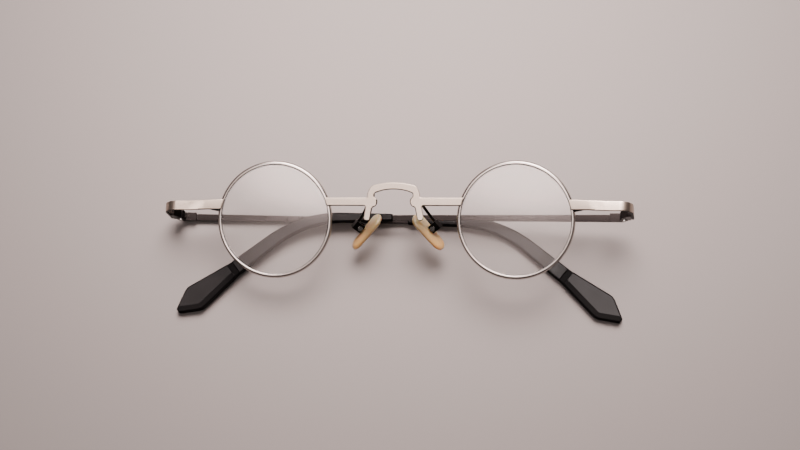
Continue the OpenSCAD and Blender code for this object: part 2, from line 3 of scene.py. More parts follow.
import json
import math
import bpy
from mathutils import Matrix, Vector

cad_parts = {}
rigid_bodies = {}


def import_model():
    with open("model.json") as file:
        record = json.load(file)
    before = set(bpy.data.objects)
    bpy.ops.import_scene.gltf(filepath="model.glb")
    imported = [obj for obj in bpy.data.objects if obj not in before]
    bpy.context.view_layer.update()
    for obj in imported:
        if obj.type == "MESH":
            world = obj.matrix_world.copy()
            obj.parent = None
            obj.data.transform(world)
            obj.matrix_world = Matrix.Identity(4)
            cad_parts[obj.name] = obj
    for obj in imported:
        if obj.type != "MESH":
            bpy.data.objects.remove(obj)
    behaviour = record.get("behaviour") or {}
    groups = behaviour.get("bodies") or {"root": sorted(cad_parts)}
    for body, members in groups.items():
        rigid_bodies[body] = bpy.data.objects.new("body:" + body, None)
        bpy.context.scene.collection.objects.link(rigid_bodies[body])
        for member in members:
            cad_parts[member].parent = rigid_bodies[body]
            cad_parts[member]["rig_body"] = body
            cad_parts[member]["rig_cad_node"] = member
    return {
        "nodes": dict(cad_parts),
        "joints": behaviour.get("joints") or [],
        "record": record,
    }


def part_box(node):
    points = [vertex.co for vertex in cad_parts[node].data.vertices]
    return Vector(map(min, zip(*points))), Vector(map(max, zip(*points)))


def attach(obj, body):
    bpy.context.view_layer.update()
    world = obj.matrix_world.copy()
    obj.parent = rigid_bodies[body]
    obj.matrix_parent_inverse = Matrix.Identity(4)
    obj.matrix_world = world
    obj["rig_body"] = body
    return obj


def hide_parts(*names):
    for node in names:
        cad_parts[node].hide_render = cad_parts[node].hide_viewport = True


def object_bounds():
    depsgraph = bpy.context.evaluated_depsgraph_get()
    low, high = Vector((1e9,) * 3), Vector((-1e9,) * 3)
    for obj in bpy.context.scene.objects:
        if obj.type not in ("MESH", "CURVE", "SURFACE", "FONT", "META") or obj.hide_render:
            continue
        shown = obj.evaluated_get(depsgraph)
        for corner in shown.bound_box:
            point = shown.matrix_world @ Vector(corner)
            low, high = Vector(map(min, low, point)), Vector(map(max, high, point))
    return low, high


bl_info = {
    "name": "Round Wire Eyeglasses",
    "version": (1, 0, 0),
    "blender": (4, 5, 0),
    "location": "View3D > Sidebar > Eyeglasses",
    "description": "Models and finishes the pieces of a folded pair of round wire eyeglasses",
    "category": "Object",
}

import bpy
from bpy.props import FloatProperty, FloatVectorProperty, IntProperty, PointerProperty
from bpy.types import Operator, Panel, PropertyGroup
from mathutils import Matrix, Vector

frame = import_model()
CAD_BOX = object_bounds()

MM = 0.001
SIDES = {"left": -1, "right": 1}
JOINTS = {joint["name"]: joint for joint in frame["joints"]}
MOUNTS = {mount["name"]: mount for mount in frame["record"]["mounts"]}
SLOTS = {part["node"]: part["material_slot"] for part in frame["record"]["subparts"]}

# Tolerances of the mesh work
WELD = 0.002 * MM
FLAT_ANGLE = math.radians(1.0)
SHARP_ANGLE = math.radians(38)
SMOOTH_ANGLE = math.radians(32)
CREASE_ANGLE = math.radians(60)

# Share of a direction in a face's normal that makes it a face with painted shade, a flat face or a level top
SHADE_TURN = 0.3
FLAT_TURN = 0.96
TOP_TURN = 0.97

# Shares of a nose pad's thickness and width: its side wall, and the steps of its crown as inset and rise
PAD_WALL = 0.35
PAD_CROWN = ((0.14, 0.2), (0.18, 0.13))

# Camera
SENSOR_WIDTH = 36
CLIP_START = 10 * MM


def length(label, note, default):
    """A size in metres, shown as a length."""
    return FloatProperty(name=label, description=note, default=default, unit="LENGTH", precision=5, min=0)


def angle(label, note, degrees):
    """An angle, given in degrees."""
    return FloatProperty(name=label, description=note, default=math.radians(degrees), subtype="ANGLE")


def colour(label, note, default):
    """A surface colour in linear light."""
    return FloatVectorProperty(name=label, description=note, default=default, subtype="COLOR", size=3, min=0, max=1)


def amount(label, note, default, top=1.0):
    """A plain number from nothing to its top."""
    return FloatProperty(name=label, description=note, default=default, min=0, max=top)


def way(label, note, default):
    """A direction, or a width along each axis of a direction."""
    return FloatVectorProperty(name=label, description=note, default=default, subtype="XYZ", size=3)


class EyeglassSizes(PropertyGroup):
    """Sizes of the pieces that are modelled here, as on the real frame"""

    front_tilt: angle("Front tilt", "Angle by which the front leans forward over the temples", 15)
    rim_bore: length("Rim bore", "Inside diameter of a rim", 32.8 * MM)
    rim_wall: length("Rim wall", "Radial thickness of the rim wire", 1.2 * MM)
    rim_depth: length("Rim depth", "Depth of the rim wire, front to back", 1.8 * MM)
    rim_crown: length("Rim crown", "Radius of the rounded outside of the rim wire", 1.05 * MM)
    rim_groove: length("Rim groove", "Depth of the lens groove inside the rim", 0.5 * MM)
    rim_slit: length("Rim slit", "Width of the slit that splits a rim at its lock", 0.16 * MM)
    rim_drop: length("Rim drop", "How far the rim centres lie below the slits", 4.4 * MM)
    rim_ease: length("Rim ease", "Width of the eased corners of the rim wire", 0.3 * MM)
    lens_thickness: length("Lens thickness", "Thickness of a lens", 1.6 * MM)
    lens_radius: length("Lens radius", "Radius of a lens's front surface", 180 * MM)
    lens_gap: length("Lens gap", "Gap between a lens and its rim", 0.05 * MM)
    pad_length: length("Pad length", "Length of a nose pad", 13.4 * MM)
    pad_width: length("Pad width", "Width of a nose pad at its lower end", 5.2 * MM)
    pad_top_width: length("Pad top width", "Width of a nose pad at its upper end", 6.6 * MM)
    pad_thickness: length("Pad thickness", "Thickness of a nose pad", 2.4 * MM)
    stem_reach: length("Stem reach", "Distance from a pad's back to its screw", 1.5 * MM)
    stem_width: length("Stem width", "Width of a pad's stem", 1.8 * MM)
    stem_thickness: length("Stem thickness", "Thickness of a pad's stem", 1.1 * MM)
    stem_bore: length("Stem bore", "Radius of the screw hole in a pad's stem", 0.44 * MM)
    plate_ease: length("Plate ease", "Width of the rounded edges of the front's plates", 0.3 * MM)
    strip_ease: length("Strip ease", "Width of the rounded edges of the temple strips", 0.1 * MM)
    tip_ease: length("Tip ease", "Width of the rounded edges of the temple tips", 0.3 * MM)
    tip_band: length("Tip band", "Width of the shaded band on the lower edges of the temple tips", 1.5 * MM)
    small_ease: length("Small ease", "Width of the rounded edges of hinges, locks and screws", 0.06 * MM)
    box_ease: length("Box ease", "Width of the rounded edges of the pad boxes", 0.2 * MM)
    dome_ease: length("Dome ease", "Width of the rounded edges of the pad screws' heads", 0.4 * MM)
    round_steps: IntProperty(name="Round steps", description="Faces round a rim or a lens", default=192, min=48)


class EyeglassFinishes(PropertyGroup):
    """Colours and roughness of the surfaces"""

    satin: colour("Satin metal", "Colour of the brushed front", (0.43, 0.353, 0.296))
    # Painted shade: this dark metal goes on plate faces turned to the chin or the nose, and on the rim locks and
    # pad boxes
    satin_painted_shade: colour("Satin edges", "Colour of the toned edges of the front's plates", (0.007, 0.006, 0.0055))
    satin_rough: amount("Satin roughness", "Roughness of the brushed front", 0.31)
    wire: colour("Rim wire", "Colour of the rims", (0.44, 0.395, 0.37))
    wire_rough: amount("Wire roughness", "Roughness of the rims", 0.24)
    gunmetal: colour("Gunmetal", "Colour of the temples, hinges and pad arms", (0.017, 0.014, 0.0135))
    gunmetal_rough: amount("Gunmetal roughness", "Roughness of the dark metal", 0.28)
    steel: colour("Screw steel", "Colour of the screws", (0.46, 0.44, 0.42))
    steel_rough: amount("Steel roughness", "Roughness of the screws", 0.24)
    polished: colour("Polished steel", "Colour of the heads of the pad screws", (0.828, 0.792, 0.756))
    polished_rough: amount("Polish roughness", "Roughness of the heads of the pad screws", 0.096)
    plastic: colour("Tip plastic", "Colour of the temple tips", (0.008, 0.007, 0.0072))
    plastic_rough: amount("Plastic roughness", "Roughness of the temple tips", 0.22)
    plastic_ior: amount("Tip index", "Refractive index of the temple tips", 1.28, 2.5)
    pad_top: colour("Pad top", "Colour of the upper end of the pads", (0.45, 0.385, 0.235))
    pad_low: colour("Pad bottom", "Colour of the lower end of the pads", (0.66, 0.39, 0.14))
    glass: colour("Lens tint", "Colour of the lenses", (0.99, 0.99, 0.985))
    glass_shade: colour("Lens shadow", "Light that each face of a lens lets through", (0.85, 0.85, 0.85))
    glass_gleam: colour("Lens gleam", "Tint of the light that the lenses throw back", (1.0, 0.86, 0.82))
    glass_ior: amount("Lens index", "Refractive index of the lenses", 1.52, 2.5)


class EyeglassStage(PropertyGroup):
    """Table, light and camera"""

    # The table's colour holds a painted pool of light: brightest at the patch, dimmer away from it
    table: colour("Table", "Colour of the table where it is brightest", (0.373, 0.329, 0.314))
    table_size: length("Table size", "Width of the table", 6.0)
    painted_light_dim: amount("Table dimming", "Share of the table's colour that is left far from its bright patch", 0.195)
    painted_light_place: FloatVectorProperty(
        name="Patch place", description="Middle of the table's bright patch", default=(0.0064, 0.1062, 0.0),
        subtype="TRANSLATION")
    painted_light_spread: length("Patch spread", "Width of the table's bright patch", 0.112)
    light: colour("Light", "Colour of all the light", (1.0, 0.882, 0.852))
    sky: amount("Sky", "Strength of the even light all round", 0.06, 20)
    glow: amount("Glow", "Strength of the soft light overhead", 10.3, 50)
    glow_way: way("Glow direction", "Where the light overhead stands", (-0.075, -0.02, 0.99))
    glow_far: length("Glow distance", "Distance of the light overhead", 4.0)
    glow_size: length("Glow size", "Width of the plane that the light overhead fades out on", 12.0)
    glow_spread: way("Glow spread", "Width of the light overhead along each axis", (0.32, 0.17, 0.5))
    window: amount("Window", "Strength of the light behind the brow", 36.0, 100)
    window_way: way("Window direction", "Where the light behind the brow stands", (0.1, 0.6, 0.79))
    window_spread: way("Window spread", "Width of the light behind the brow along each axis", (0.32, 0.25, 0.34))
    haze: amount("Haze", "Strength of the faint light in front of the chin", 1.75, 100)
    haze_way: way("Haze direction", "Where the faint light stands", (-0.15, -0.32, 0.93))
    haze_spread: way("Haze spread", "Width of the faint light along each axis", (0.3, 0.15, 0.4))
    camera_yaw: angle("Camera yaw", "Turn of the camera to the right of straight above", 6.303)
    camera_tilt: angle("Camera tilt", "Lean of the camera towards the chin", 14.889)
    camera_roll: angle("Camera roll", "Roll of the camera about its axis", 2.627)
    camera_distance: length("Camera distance", "Distance from the camera to its aim", 0.59)
    camera_aim: FloatVectorProperty(
        name="Camera aim", description="Point that the camera looks at", default=(0.00033, 0.006318, 0.004),
        subtype="TRANSLATION", precision=5)
    camera_lens: amount("Camera lens", "Focal length in millimetres on a 36 mm sensor", 87.44, 300)


# Frames of the object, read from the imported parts


def middle(node):
    """Middle of a node's box."""
    low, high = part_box(node)
    return (low + high) / 2


def axes(origin, x, y, z):
    """A frame from its origin and its three axes."""
    return Matrix.Translation(origin) @ Matrix((x, y, z)).transposed().to_4x4()


def rim_frame(side, sizes):
    """Frame at a rim's middle: X away from the nose, Y to the brow, Z out of the lens."""
    across = (middle("right_rim") - middle("left_rim")).normalized()
    brow = Matrix.Rotation(sizes.front_tilt, 3, across) @ Vector(JOINTS["left_temple_fold"]["axis"])
    return axes(middle(f"{side}_rim"), SIDES[side] * across, brow, across.cross(brow))


def pad_frame(side, sizes):
    """Frame at a pad's middle: X across it, Y up along it, Z out of the face that rests on the nose."""
    rest = MOUNTS[f"{side}_pad_rest"]
    face = Vector(rest["axis"]).normalized()
    across = Vector(JOINTS[f"{side}_pad_rock"]["axis"]).normalized()
    along = SIDES[side] * face.cross(across)
    return axes(Vector(rest["pos_m"]) - face * sizes.pad_thickness / 2, across, along, face)


# Steps of the mesh work


def clear_selection():
    bpy.ops.object.select_all(action="DESELECT")


def make_active(piece):
    clear_selection()
    piece.select_set(True)
    bpy.context.view_layer.objects.active = piece


def rename(piece, name):
    piece.name = name
    piece.data.name = name


def edit(piece, mode="VERT"):
    """Opens a piece in edit mode with all of it selected."""
    make_active(piece)
    bpy.ops.object.mode_set(mode="EDIT")
    bpy.ops.mesh.select_mode(type=mode)
    bpy.ops.mesh.select_all(action="SELECT")


def done():
    bpy.ops.object.mode_set(mode="OBJECT")


def select_vertices(piece, wanted):
    """Selects the vertices for which wanted(place) is true, from edit mode and back into it."""
    bpy.ops.mesh.select_all(action="DESELECT")
    done()
    for vertex in piece.data.vertices:
        vertex.select = wanted(vertex.co)
    bpy.ops.object.mode_set(mode="EDIT")


def select_faces(piece, wanted):
    """Selects the faces for which wanted(face) is true, from edit mode and back into it."""
    bpy.ops.mesh.select_mode(type="FACE")
    bpy.ops.mesh.select_all(action="DESELECT")
    done()
    for face in piece.data.polygons:
        face.select = wanted(face)
    bpy.ops.object.mode_set(mode="EDIT")


def draw_outline(name, points):
    """A chain of edges through the points, drawn by extruding one vertex, left open in edit mode."""
    clear_selection()
    bpy.ops.mesh.primitive_plane_add(size=MM)
    piece = bpy.context.object
    rename(piece, name)
    edit(piece)
    bpy.ops.mesh.merge(type="CENTER")
    bpy.ops.transform.translate(value=points[0])
    for start, stop in zip(points, points[1:]):
        bpy.ops.mesh.extrude_vertices_move(TRANSFORM_OT_translate={"value": stop - start})
    return piece


def close_outline():
    """Joins the two ends of the outline that is being drawn, which lie at one place."""
    bpy.ops.mesh.select_all(action="SELECT")
    bpy.ops.mesh.remove_doubles(threshold=WELD)


def outward():
    """Turns every face of the mesh being edited outwards."""
    bpy.ops.mesh.select_all(action="SELECT")
    bpy.ops.mesh.normals_make_consistent(inside=False)


def smooth(piece):
    make_active(piece)
    bpy.ops.object.shade_smooth_by_angle(angle=SMOOTH_ANGLE)


def settle_normals(piece):
    """Keeps flat faces flat beside their rounded edges."""
    make_active(piece)
    bpy.ops.object.modifier_add(type="WEIGHTED_NORMAL")
    modifier = piece.modifiers[-1]
    modifier.keep_sharp = True
    bpy.ops.object.modifier_apply(modifier=modifier.name)


def place(piece, name, matrix):
    """A copy of a piece with its mesh put at a frame and its object at the origin."""
    make_active(piece)
    bpy.ops.object.duplicate()
    copy = bpy.context.object
    rename(copy, name)
    copy.matrix_world = matrix
    bpy.ops.object.transform_apply(location=True, rotation=True, scale=True)
    edit(copy)
    outward()
    done()
    smooth(copy)
    return copy


def combine(piece, tool, operation):
    """Joins a tool to a piece, or cuts it out of it, and deletes the tool."""
    make_active(piece)
    bpy.ops.object.modifier_add(type="BOOLEAN")
    modifier = piece.modifiers[-1]
    modifier.object = tool
    modifier.operation = operation
    modifier.solver = "EXACT"
    bpy.ops.object.modifier_apply(modifier=modifier.name)
    bpy.data.objects.remove(tool)


def subdivide_smoothly(piece, levels):
    make_active(piece)
    bpy.ops.object.modifier_add(type="SUBSURF")
    modifier = piece.modifiers[-1]
    modifier.levels = levels
    modifier.render_levels = levels
    bpy.ops.object.modifier_apply(modifier=modifier.name)


def merged_copy(node, name):
    """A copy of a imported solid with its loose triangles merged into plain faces."""
    make_active(frame["nodes"][node])
    bpy.ops.object.duplicate()
    piece = bpy.context.object
    rename(piece, name)
    del piece["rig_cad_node"]
    bpy.ops.object.parent_clear(type="CLEAR")
    bpy.ops.mesh.customdata_custom_splitnormals_clear()
    edit(piece)
    bpy.ops.mesh.remove_doubles(threshold=WELD)
    bpy.ops.mesh.dissolve_limited(angle_limit=FLAT_ANGLE)
    done()
    return piece


def eased_copy(node, name, ease, segments=2):
    """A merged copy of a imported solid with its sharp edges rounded."""
    piece = merged_copy(node, name)
    edit(piece, "EDGE")
    bpy.ops.mesh.select_all(action="DESELECT")
    bpy.ops.mesh.edges_select_sharp(sharpness=SHARP_ANGLE)
    bpy.ops.mesh.bevel(offset=ease, segments=segments, profile=0.5, clamp_overlap=True)
    done()
    smooth(piece)
    settle_normals(piece)
    return piece


def paint_shade(piece, material, wanted):
    """Gives the faces for which wanted(face) is true a second, darker finish that paints shade on them."""
    make_active(piece)
    bpy.ops.object.material_slot_add()
    piece.material_slots[-1].material = material
    edit(piece, "FACE")
    select_faces(piece, wanted)
    bpy.ops.object.material_slot_assign()
    done()


def dress(piece, node, material):
    """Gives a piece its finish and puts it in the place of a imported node, on that node's body."""
    piece.data.materials.clear()
    piece.data.materials.append(material)
    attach(piece, frame["nodes"][node]["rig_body"])
    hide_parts(node)


# Finishes

# How far the strokes of a brush are drawn out along each axis
PLATE_STROKES = (0.04, 1, 1)
TEMPLE_STROKES = (0.06, 1, 1)
RIM_STROKES = (1, 1, 1)

# Materials made so far, by slot
MADE = {}


def tinted(shade, factor):
    """A colour made lighter or darker."""
    return tuple(min(1.0, channel * factor) for channel in shade)


class Finish:
    """A material built up on its shader, with patterns on Object coordinates in metres"""

    def __init__(self, name, **sockets):
        self.material = bpy.data.materials.new(name)
        self.material.use_nodes = True
        self.tree = self.material.node_tree
        self.shader = self.tree.nodes["Principled BSDF"]
        for socket, value in sockets.items():
            self.shader.inputs[socket.replace("_", " ")].default_value = value

    def node(self, kind, **values):
        """A new node with some of its inputs set."""
        made = self.tree.nodes.new(kind)
        for socket, value in values.items():
            made.inputs[socket.replace("_", " ")].default_value = value
        return made

    def link(self, output, node, socket):
        self.tree.links.new(output, node.inputs[socket])

    def place(self, stretch=(1, 1, 1)):
        """Object coordinates, scaled along each axis."""
        mapping = self.node("ShaderNodeMapping", Scale=stretch)
        self.link(self.node("ShaderNodeTexCoord").outputs["Object"], mapping, "Vector")
        return mapping.outputs["Vector"]

    def grain(self, size, stretch=(1, 1, 1), detail=3.0):
        """Noise whose grains are about one size across, drawn out where stretch is below 1."""
        noise = self.node("ShaderNodeTexNoise", Scale=1 / size, Detail=detail)
        self.link(self.place(stretch), noise, "Vector")
        return noise.outputs["Fac"]

    def spread(self, value, low, high, from_low=0.3, from_high=0.7):
        """Stretches a pattern's value over a range."""
        ranged = self.node("ShaderNodeMapRange")
        for socket, number in (("From Min", from_low), ("From Max", from_high), ("To Min", low), ("To Max", high)):
            ranged.inputs[socket].default_value = number
        self.link(value, ranged, "Value")
        return ranged.outputs["Result"]

    def mix(self, value, first, second):
        """A colour between two, by a pattern's value."""
        mixed = self.tree.nodes.new("ShaderNodeMix")
        mixed.data_type = "RGBA"
        for socket, pair in (("A", first), ("B", second)):
            colours = [s for s in mixed.inputs if s.name == socket and s.type == "RGBA"]
            colours[0].default_value = (*pair, 1)
        factor = [s for s in mixed.inputs if s.name == "Factor" and s.type == "VALUE"][0]
        self.tree.links.new(value, factor)
        return [s for s in mixed.outputs if s.type == "RGBA"][0]

    def drive(self, socket, output):
        self.link(output, self.shader, socket)

    def mottle(self, pattern, shade, low, high):
        """Varies a colour between two shares of itself."""
        self.drive("Base Color", self.mix(pattern, tinted(shade, low), tinted(shade, high)))

    def dull(self, pattern, rough, low, high):
        """Varies a roughness between two shares of itself."""
        self.drive("Roughness", self.spread(pattern, rough * low, rough * high))

    def let_light_through(self, shade):
        """Lets lamplight pass in this colour, so that clear glass throws only a pale shadow."""
        passing = self.node("ShaderNodeBsdfTransparent", Color=(*shade, 1))
        mixed = self.node("ShaderNodeMixShader")
        self.link(self.node("ShaderNodeLightPath").outputs["Is Shadow Ray"], mixed, 0)
        self.link(self.shader.outputs["BSDF"], mixed, 1)
        self.link(passing.outputs["BSDF"], mixed, 2)
        self.link(mixed.outputs["Shader"], self.tree.nodes["Material Output"], "Surface")

    def bump(self, height, depth, strength=1.0):
        """Relief of a given depth in metres."""
        relief = self.node("ShaderNodeBump", Strength=strength, Distance=depth)
        self.link(height, relief, "Height")
        self.link(relief.outputs["Normal"], self.shader, "Normal")


def reckon(tree, operation, value, number):
    """A node's value worked on by a number."""
    step = tree.nodes.new("ShaderNodeMath")
    step.operation = operation
    step.inputs[1].default_value = number
    tree.links.new(value, step.inputs[0])
    return step.outputs["Value"]


def soft_patch(tree, vector, centre, spread, hardness=1):
    """A value that is 1 where the vector meets a centre and falls off round it, the harder the steeper."""
    for operation, numbers in (("SUBTRACT", centre), ("DIVIDE", spread)):
        step = tree.nodes.new("ShaderNodeVectorMath")
        step.operation = operation
        step.inputs[1].default_value = numbers
        tree.links.new(vector, step.inputs[0])
        vector = step.outputs["Vector"]
    square = tree.nodes.new("ShaderNodeVectorMath")
    square.operation = "DOT_PRODUCT"
    for socket in square.inputs[:2]:
        tree.links.new(vector, socket)
    value = square.outputs["Value"]
    for operation, number in (("POWER", hardness), ("MULTIPLY", -0.5), ("EXPONENT", 0)):
        value = reckon(tree, operation, value, number)
    return value


def satin_finish(name, shade, rough, stretch):
    """Brushed satin metal, with its strokes drawn out where stretch is below 1."""
    finish = Finish(name, Metallic=1.0)
    strokes = finish.grain(size=0.12 * MM, stretch=stretch, detail=4)
    stains = finish.grain(size=6 * MM, detail=2)
    finish.mottle(stains, shade, 0.95, 1.04)
    finish.dull(strokes, rough, 0.85, 1.15)
    finish.bump(strokes, depth=0.006 * MM, strength=0.5)
    return finish.material


def painted_shade_finish(finishes):
    """Dark metal that paints shade on the plates' edges turned to the chin or the nose, on the rim locks and on the
    pad boxes.
    """
    finish = Finish("satin_painted_shade", Metallic=1.0)
    marks = finish.grain(size=0.2 * MM)
    finish.mottle(marks, finishes.satin_painted_shade, 0.85, 1.15)
    finish.drive("Roughness", finish.spread(marks, low=0.38, high=0.5))
    return finish.material


def gunmetal_finish(finishes):
    """Dark plated metal with a fine lengthwise grain."""
    finish = Finish("gunmetal", Metallic=1.0)
    strokes = finish.grain(size=0.15 * MM, stretch=TEMPLE_STROKES, detail=4)
    finish.mottle(strokes, finishes.gunmetal, 0.9, 1.1)
    finish.dull(finish.grain(size=2 * MM), finishes.gunmetal_rough, 0.97, 1.03)
    finish.bump(strokes, depth=0.002 * MM, strength=0.2)
    return finish.material


def steel_finish(name, shade, rough):
    """Turned screw steel."""
    finish = Finish(name, Metallic=1.0)
    marks = finish.grain(size=0.1 * MM)
    finish.mottle(marks, shade, 0.9, 1.1)
    finish.dull(marks, rough, 0.8, 1.2)
    return finish.material


def tip_finish(finishes):
    """Black moulded plastic, polished, with faint handling marks."""
    finish = Finish("tip_plastic", IOR=finishes.plastic_ior)
    marks = finish.grain(size=5 * MM)
    grain = finish.grain(size=0.25 * MM, detail=2)
    finish.mottle(marks, finishes.plastic, 0.8, 1.25)
    finish.dull(marks, finishes.plastic_rough, 0.96, 1.05)
    finish.bump(grain, depth=0.003 * MM, strength=0.3)
    return finish.material


def tip_painted_shade_finish(finishes):
    """The same plastic, matt and darker, as painted shade on the sides, the groove and the lower band of the tips.
    """
    finish = Finish("tip_painted_shade", Roughness=0.5, Specular_IOR_Level=0.02)
    finish.mottle(finish.grain(size=0.5 * MM), finishes.plastic, 0.4, 0.6)
    return finish.material


def pad_finish(finishes):
    """Translucent amber plastic, paler at the upper end."""
    finish = Finish(
        "pad_plastic", Roughness=0.28, IOR=1.46, Transmission_Weight=0.35, Subsurface_Weight=0.6,
        Subsurface_Radius=(1.0, 0.55, 0.25), Subsurface_Scale=2.5 * MM, Coat_Weight=0.3, Coat_Roughness=0.15)
    low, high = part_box("left_nose_pad")
    height = finish.node("ShaderNodeSeparateXYZ")
    finish.link(finish.place(), height, "Vector")
    share = finish.spread(height.outputs["Y"], low=0, high=1, from_low=low.y, from_high=high.y)
    finish.drive("Base Color", finish.mix(share, finishes.pad_low, finishes.pad_top))
    finish.bump(finish.grain(size=0.4 * MM, detail=2), depth=0.004 * MM, strength=0.3)
    return finish.material


def lens_finish(finishes):
    """Clear lens with a trace of smears on its polish."""
    finish = Finish(
        "lens_glass", Base_Color=(*finishes.glass, 1), IOR=finishes.glass_ior, Transmission_Weight=1.0,
        Specular_Tint=(*finishes.glass_gleam, 1))
    smears = finish.grain(size=7 * MM, detail=2)
    finish.drive("Roughness", finish.spread(smears, low=0, high=0.012, from_low=0.45, from_high=0.75))
    finish.let_light_through(finishes.glass_shade)
    return finish.material


def table_finish(stage):
    """Pale matt table top with a painted pool of light, brightest in one soft patch and darker away from it."""
    finish = Finish("table_top", Specular_IOR_Level=0.25, Roughness=0.7)
    patch = soft_patch(finish.tree, finish.place(), stage.painted_light_place, [stage.painted_light_spread] * 3)
    finish.drive("Base Color", finish.mix(patch, tinted(stage.table, stage.painted_light_dim), stage.table))
    finish.bump(finish.grain(size=0.8 * MM), depth=0.01 * MM, strength=0.3)
    return finish.material


def finish_of(slot, context):
    """The material of a slot, made the first time that it is asked for."""
    finishes = context.scene.eyeglass_finishes
    makers = {
        "satin_metal": lambda: satin_finish("satin_plate", finishes.satin, finishes.satin_rough, PLATE_STROKES),
        "satin_wire": lambda: satin_finish("satin_wire", finishes.wire, finishes.wire_rough, RIM_STROKES),
        "satin_painted_shade": lambda: painted_shade_finish(finishes),
        "dark_metal": lambda: gunmetal_finish(finishes),
        "screw_steel": lambda: steel_finish("screw_steel", finishes.steel, finishes.steel_rough),
        "polished_steel": lambda: steel_finish("polished_steel", finishes.polished, finishes.polished_rough),
        "tip_plastic": lambda: tip_finish(finishes),
        "tip_painted_shade": lambda: tip_painted_shade_finish(finishes),
        "pad_plastic": lambda: pad_finish(finishes),
        "lens": lambda: lens_finish(finishes),
    }
    if slot not in MADE:
        MADE[slot] = makers[slot]()
    return MADE[slot]


def ease_group(context, parts, ease, suffix, segments=2, finish=None):
    """Eased copies of several kinds of node, on both sides, in one finish or in their slots' own."""
    for side in SIDES:
        for part in parts:
            node = f"{side}_{part}"
            piece = eased_copy(node, f"{node}_{suffix}", ease, segments)
            dress(piece, node, finish_of(finish or SLOTS[node], context))


# Pieces


class EYEGLASSES_OT_rims(Operator):
    """Spin the section of the rim wire round each lens, open at its lock"""

    bl_idname = "eyeglasses.rims"
    bl_label = "Rims"

    def execute(self, context):
        sizes = context.scene.eyeglass_sizes
        inner = sizes.rim_bore / 2
        outer = inner + sizes.rim_wall
        face = sizes.rim_depth / 2
        crown_at = outer - sizes.rim_crown
        crown_turn = math.asin(face / sizes.rim_crown)
        crown_steps = 8
        crown = [
            (crown_at + sizes.rim_crown * math.cos(turn), sizes.rim_crown * math.sin(turn))
            for turn in (crown_turn * (2 * i / crown_steps - 1) for i in range(crown_steps + 1))
        ]
        section = [(inner, -sizes.rim_groove), (inner, -face), *crown, (inner, face), (inner, sizes.rim_groove)]
        section += [(inner + sizes.rim_groove, 0), section[0]]
        opening = sizes.rim_slit / outer
        start = Matrix.Rotation(math.asin(sizes.rim_drop / outer) - opening / 2, 3, "Z")
        wire = draw_outline("rim_section", [start @ Vector((r, 0, z)) for r, z in section])
        close_outline()
        select_vertices(wire, lambda co: abs(abs(co.z) - face) < WELD)
        bpy.ops.mesh.bevel(offset=sizes.rim_ease, segments=2, affect="VERTICES")
        bpy.ops.mesh.select_all(action="SELECT")
        bpy.ops.mesh.spin(steps=sizes.round_steps, angle=math.tau - opening, center=(0, 0, 0), axis=(0, 0, 1))
        bpy.ops.mesh.select_all(action="SELECT")
        bpy.ops.mesh.fill_holes(sides=0)
        outward()
        done()
        for side in SIDES:
            piece = place(wire, f"{side}_rim_wire", rim_frame(side, sizes))
            dress(piece, f"{side}_rim", finish_of("satin_wire", context))
        bpy.data.objects.remove(wire)
        return {"FINISHED"}


class EYEGLASSES_OT_lenses(Operator):
    """Spin the section of a curved lens, with a bevelled edge for the rim's groove"""

    bl_idname = "eyeglasses.lenses"
    bl_label = "Lenses"

    def execute(self, context):
        sizes = context.scene.eyeglass_sizes
        edge = sizes.rim_bore / 2 - sizes.lens_gap
        bevel = sizes.rim_groove - 2 * sizes.lens_gap
        half = sizes.lens_thickness / 2

        def sag(radius, r):
            return radius - math.sqrt(radius * radius - r * r)

        front, back = sizes.lens_radius, sizes.lens_radius - sizes.lens_thickness
        crest = sag(front, edge) + half
        rings = 10
        out = [edge * i / rings for i in range(rings + 1)]
        profile = [(r, crest - sag(front, r)) for r in out]
        profile += [(edge, bevel), (edge + bevel, 0), (edge, -bevel)]
        profile += [(r, crest - sizes.lens_thickness - sag(back, r)) for r in reversed(out)]
        lens = draw_outline("lens_section", [Vector((r, 0, z)) for r, z in profile])
        bpy.ops.mesh.select_all(action="SELECT")
        bpy.ops.mesh.spin(steps=sizes.round_steps, angle=math.tau, center=(0, 0, 0), axis=(0, 0, 1))
        close_outline()
        outward()
        done()
        for side in SIDES:
            piece = place(lens, f"{side}_lens_glass", rim_frame(side, sizes))
            dress(piece, f"{side}_lens", finish_of("lens", context))
            piece.visible_diffuse = False  # light that the table scatters passes the lens by
        bpy.data.objects.remove(lens)
        return {"FINISHED"}


class EYEGLASSES_OT_front_plates(Operator):
    """Round the edges of the bridge plate and of the two bent end pieces, and paint shade in dark metal on their
    faces turned to the chin, and on the bridge's faces turned to the nose
    """

    bl_idname = "eyeglasses.front_plates"
    bl_label = "Bridge and end pieces"

    def execute(self, context):
        sizes = context.scene.eyeglass_sizes
        tilted = rim_frame("right", sizes).to_3x3()
        brow, out = tilted.col[1], tilted.col[2]
        bridge = eased_copy("bridge", "bridge_plate", sizes.plate_ease)
        dress(bridge, "bridge", finish_of("satin_metal", context))

        # Faces turned towards the chin or the nose get painted shade in dark metal
        def shaded(face):
            to_nose = -math.copysign(face.normal.x, face.normal.x * face.center.x)
            to_chin = -face.normal.dot(brow)
            return abs(face.normal.dot(out)) < FLAT_TURN and max(to_chin, to_nose) > SHADE_TURN

        paint_shade(bridge, finish_of("satin_painted_shade", context), shaded)
        for side in SIDES:
            node = f"{side}_end_piece"
            strip = eased_copy(node, f"{node}_strip", sizes.plate_ease)
            dress(strip, node, finish_of("satin_metal", context))
            # The end pieces' faces turned towards the chin get painted shade in dark metal
            paint_shade(strip, finish_of("satin_painted_shade", context), lambda face: face.normal.dot(brow) < -SHADE_TURN)
        return {"FINISHED"}


